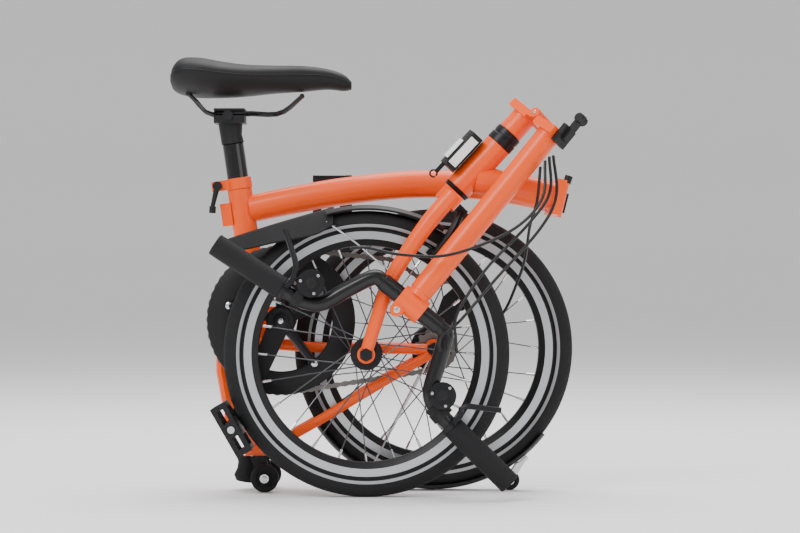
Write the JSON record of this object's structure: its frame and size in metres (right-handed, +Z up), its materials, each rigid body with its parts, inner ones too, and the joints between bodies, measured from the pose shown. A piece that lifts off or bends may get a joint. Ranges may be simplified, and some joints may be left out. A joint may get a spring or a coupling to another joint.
{
  "type": "folding bicycle",
  "caption": "Compact folding bicycle with small wheels, shown folded: rear wheel tucked under, front wheel alongside, stem down.",
  "frame": {"origin": "middle of the footprint, on the floor", "axes": "+X towards the main hinge, -Y the drive side, +Z up"},
  "size_m": [0.611, 0.3205, 0.647],
  "materials": {
    "main_frame": "gloss",
    "main_hinge_pin": "satin",
    "rear_pivot_pin": "satin",
    "main_hinge_clamp": "satin",
    "seat_clamp": "gloss",
    "main_clamp_lever": "satin",
    "seat_clamp_lever": "satin",
    "seatpost": "satin",
    "saddle_clamp": "satin",
    "saddle_rails": "satin",
    "saddle": "satin",
    "front_frame": "gloss",
    "carrier_block": "satin",
    "carrier_reflector": "satin",
    "headset_upper": "satin",
    "headset_lower": "satin",
    "fork": "gloss",
    "front_axle": "satin",
    "front_mudguard": "satin",
    "front_brake": "satin",
    "stem_base": "gloss",
    "stem_hinge_pin": "satin",
    "front_tyre": "matte",
    "front_rim": "satin",
    "front_hub": "satin",
    "stem": "gloss",
    "stem_clamp_lever": "satin",
    "handlebar": "satin",
    "left_grip": "matte",
    "right_grip": "matte",
    "left_shifter": "satin",
    "right_shifter": "satin",
    "left_brake_lever": "satin",
    "right_brake_lever": "satin",
    "cable_front_brake": "satin",
    "cable_rear_brake": "satin",
    "cable_gear": "satin",
    "cable_rear": "satin",
    "rear_triangle": "gloss",
    "suspension_block": "matte",
    "roller_axle": "satin",
    "roller_bracket": "satin",
    "rear_axle": "satin",
    "rear_mudguard": "satin",
    "mudguard_roller_bracket": "satin",
    "tensioner_arm": "satin",
    "chain": "satin",
    "rear_tyre": "matte",
    "rear_rim": "satin",
    "rear_hub": "satin",
    "left_roller": "matte",
    "right_roller": "matte",
    "mudguard_roller": "matte",
    "bottom_bracket_axle": "satin",
    "right_crank": "satin",
    "left_crank": "satin",
    "right_pedal_axle": "satin",
    "left_pedal_pivot": "satin",
    "right_pedal": "satin",
    "left_pedal": "satin"
  },
  "bodies": {
    "main": {"main_frame": "main_frame", "main_hinge_pin": "main_hinge_pin", "rear_pivot_pin": "rear_pivot_pin", "main_hinge_clamp": "main_hinge_clamp", "seat_clamp": "seat_clamp"},
    "main_lever": {"main_clamp_lever": "main_clamp_lever"},
    "seat_lever": {"seat_clamp_lever": "seat_clamp_lever"},
    "post": {"seatpost": "seatpost", "saddle_clamp": "saddle_clamp", "saddle_rails": "saddle_rails", "saddle": "saddle"},
    "front_half": {"front_frame": "front_frame", "carrier_block": "carrier_block", "carrier_reflector": "carrier_reflector", "headset_upper": "headset_upper", "headset_lower": "headset_lower"},
    "fork_set": {"fork": "fork", "front_axle": "front_axle", "front_mudguard": "front_mudguard", "front_brake": "front_brake", "stem_base": "stem_base", "stem_hinge_pin": "stem_hinge_pin"},
    "front_wheel": {"front_tyre": "front_tyre", "front_rim": "front_rim", "front_hub": "front_hub"},
    "stem_set": {"stem": "stem", "stem_clamp_lever": "stem_clamp_lever", "handlebar": "handlebar", "left_grip": "left_grip", "right_grip": "right_grip", "left_shifter": "left_shifter", "right_shifter": "right_shifter", "left_brake_lever": "left_brake_lever", "right_brake_lever": "right_brake_lever", "cable_front_brake": "cable_front_brake", "cable_rear_brake": "cable_rear_brake", "cable_gear": "cable_gear", "cable_rear": "cable_rear"},
    "rear_half": {"rear_triangle": "rear_triangle", "suspension_block": "suspension_block", "roller_axle": "roller_axle", "roller_bracket": "roller_bracket", "rear_axle": "rear_axle", "rear_mudguard": "rear_mudguard", "mudguard_roller_bracket": "mudguard_roller_bracket", "tensioner_arm": "tensioner_arm", "chain": "chain"},
    "rear_wheel": {"rear_tyre": "rear_tyre", "rear_rim": "rear_rim", "rear_hub": "rear_hub"},
    "roller_left": {"left_roller": "left_roller"},
    "roller_right": {"right_roller": "right_roller"},
    "roller_guard": {"mudguard_roller": "mudguard_roller"},
    "crankset": {"bottom_bracket_axle": "bottom_bracket_axle", "right_crank": "right_crank", "left_crank": "left_crank", "right_pedal_axle": "right_pedal_axle", "left_pedal_pivot": "left_pedal_pivot"},
    "pedal_right": {"right_pedal": "right_pedal"},
    "pedal_left": {"left_pedal": "left_pedal"}
  },
  "joints": [
    {"name": "main_fold", "type": "hinge", "parent": "main", "child": "front_half", "pos_m": [0.2725, -0.005, 0.434], "axis": [0.2419, 0, 0.9703], "range_deg": [0, 180], "deforming": ["cable_front_brake", "cable_rear_brake", "cable_gear", "cable_rear"]},
    {"name": "steering", "type": "hinge", "parent": "front_half", "child": "fork_set", "pos_m": [0.189, -0.065, 0.522], "axis": [-0.682, 0, -0.7314], "range_deg": [0, 180]},
    {"name": "stem_fold", "type": "hinge", "parent": "fork_set", "child": "stem_set", "pos_m": [0.24119, -0.086, 0.54717], "axis": [-0.5171, -0.7071, 0.4822], "range_deg": [0, 174.5]},
    {"name": "front_wheel_turn", "type": "hinge", "parent": "fork_set", "child": "front_wheel", "pos_m": [-0.0125, -0.065, 0.208], "axis": [0, 1, 0], "continuous": true},
    {"name": "rear_fold", "type": "hinge", "parent": "main", "child": "rear_half", "pos_m": [-0.2295, 0.055, 0.227], "axis": [0, 1, 0], "range_deg": [0, 180], "deforming": ["chain"]},
    {"name": "rear_wheel_turn", "type": "hinge", "parent": "rear_half", "child": "rear_wheel", "pos_m": [0.0865, 0.055, 0.213], "axis": [0, 1, 0], "continuous": true},
    {"name": "left_roller_turn", "type": "hinge", "parent": "rear_half", "child": "roller_left", "pos_m": [-0.1645, 0.1, 0.021], "axis": [0, 1, 0], "continuous": true},
    {"name": "right_roller_turn", "type": "hinge", "parent": "rear_half", "child": "roller_right", "pos_m": [-0.1645, 0.01, 0.021], "axis": [0, 1, 0], "continuous": true},
    {"name": "guard_roller_turn", "type": "hinge", "parent": "rear_half", "child": "roller_guard", "pos_m": [0.2005, 0.055, 0.015], "axis": [0, 1, 0], "continuous": true},
    {"name": "crank_turn", "type": "hinge", "parent": "main", "child": "crankset", "pos_m": [-0.1395, 0.055, 0.255], "axis": [0, 1, 0], "range_deg": [0, 60]},
    {"name": "right_pedal_turn", "type": "hinge", "parent": "crankset", "child": "pedal_right", "pos_m": [-0.20758, -0.067, 0.09922], "axis": [0, 1, 0], "range_deg": [-5, 10]},
    {"name": "left_pedal_fold", "type": "hinge", "parent": "crankset", "child": "pedal_left", "pos_m": [-0.07143, 0.141, 0.40877], "axis": [-1, 0, 0], "range_deg": [0, 90]},
    {"name": "seatpost_slide", "type": "slide", "parent": "main", "child": "post", "axis": [-0.1444, 0, 0.9895], "range_m": [0, 0.2]},
    {"name": "main_lever_turn", "type": "hinge", "parent": "main", "child": "main_lever", "pos_m": [0.27444, 0.094, 0.43352], "axis": [0, 1, 0], "range_deg": [0, 90]},
    {"name": "seat_lever_turn", "type": "hinge", "parent": "main", "child": "seat_lever", "pos_m": [-0.23632, 0.035, 0.45501], "axis": [0, 1, 0], "range_deg": [0, 90]}
  ],
  "couplings": [
    {"joint": "steering", "follows": "main_fold", "ratio": 1}
  ]
}
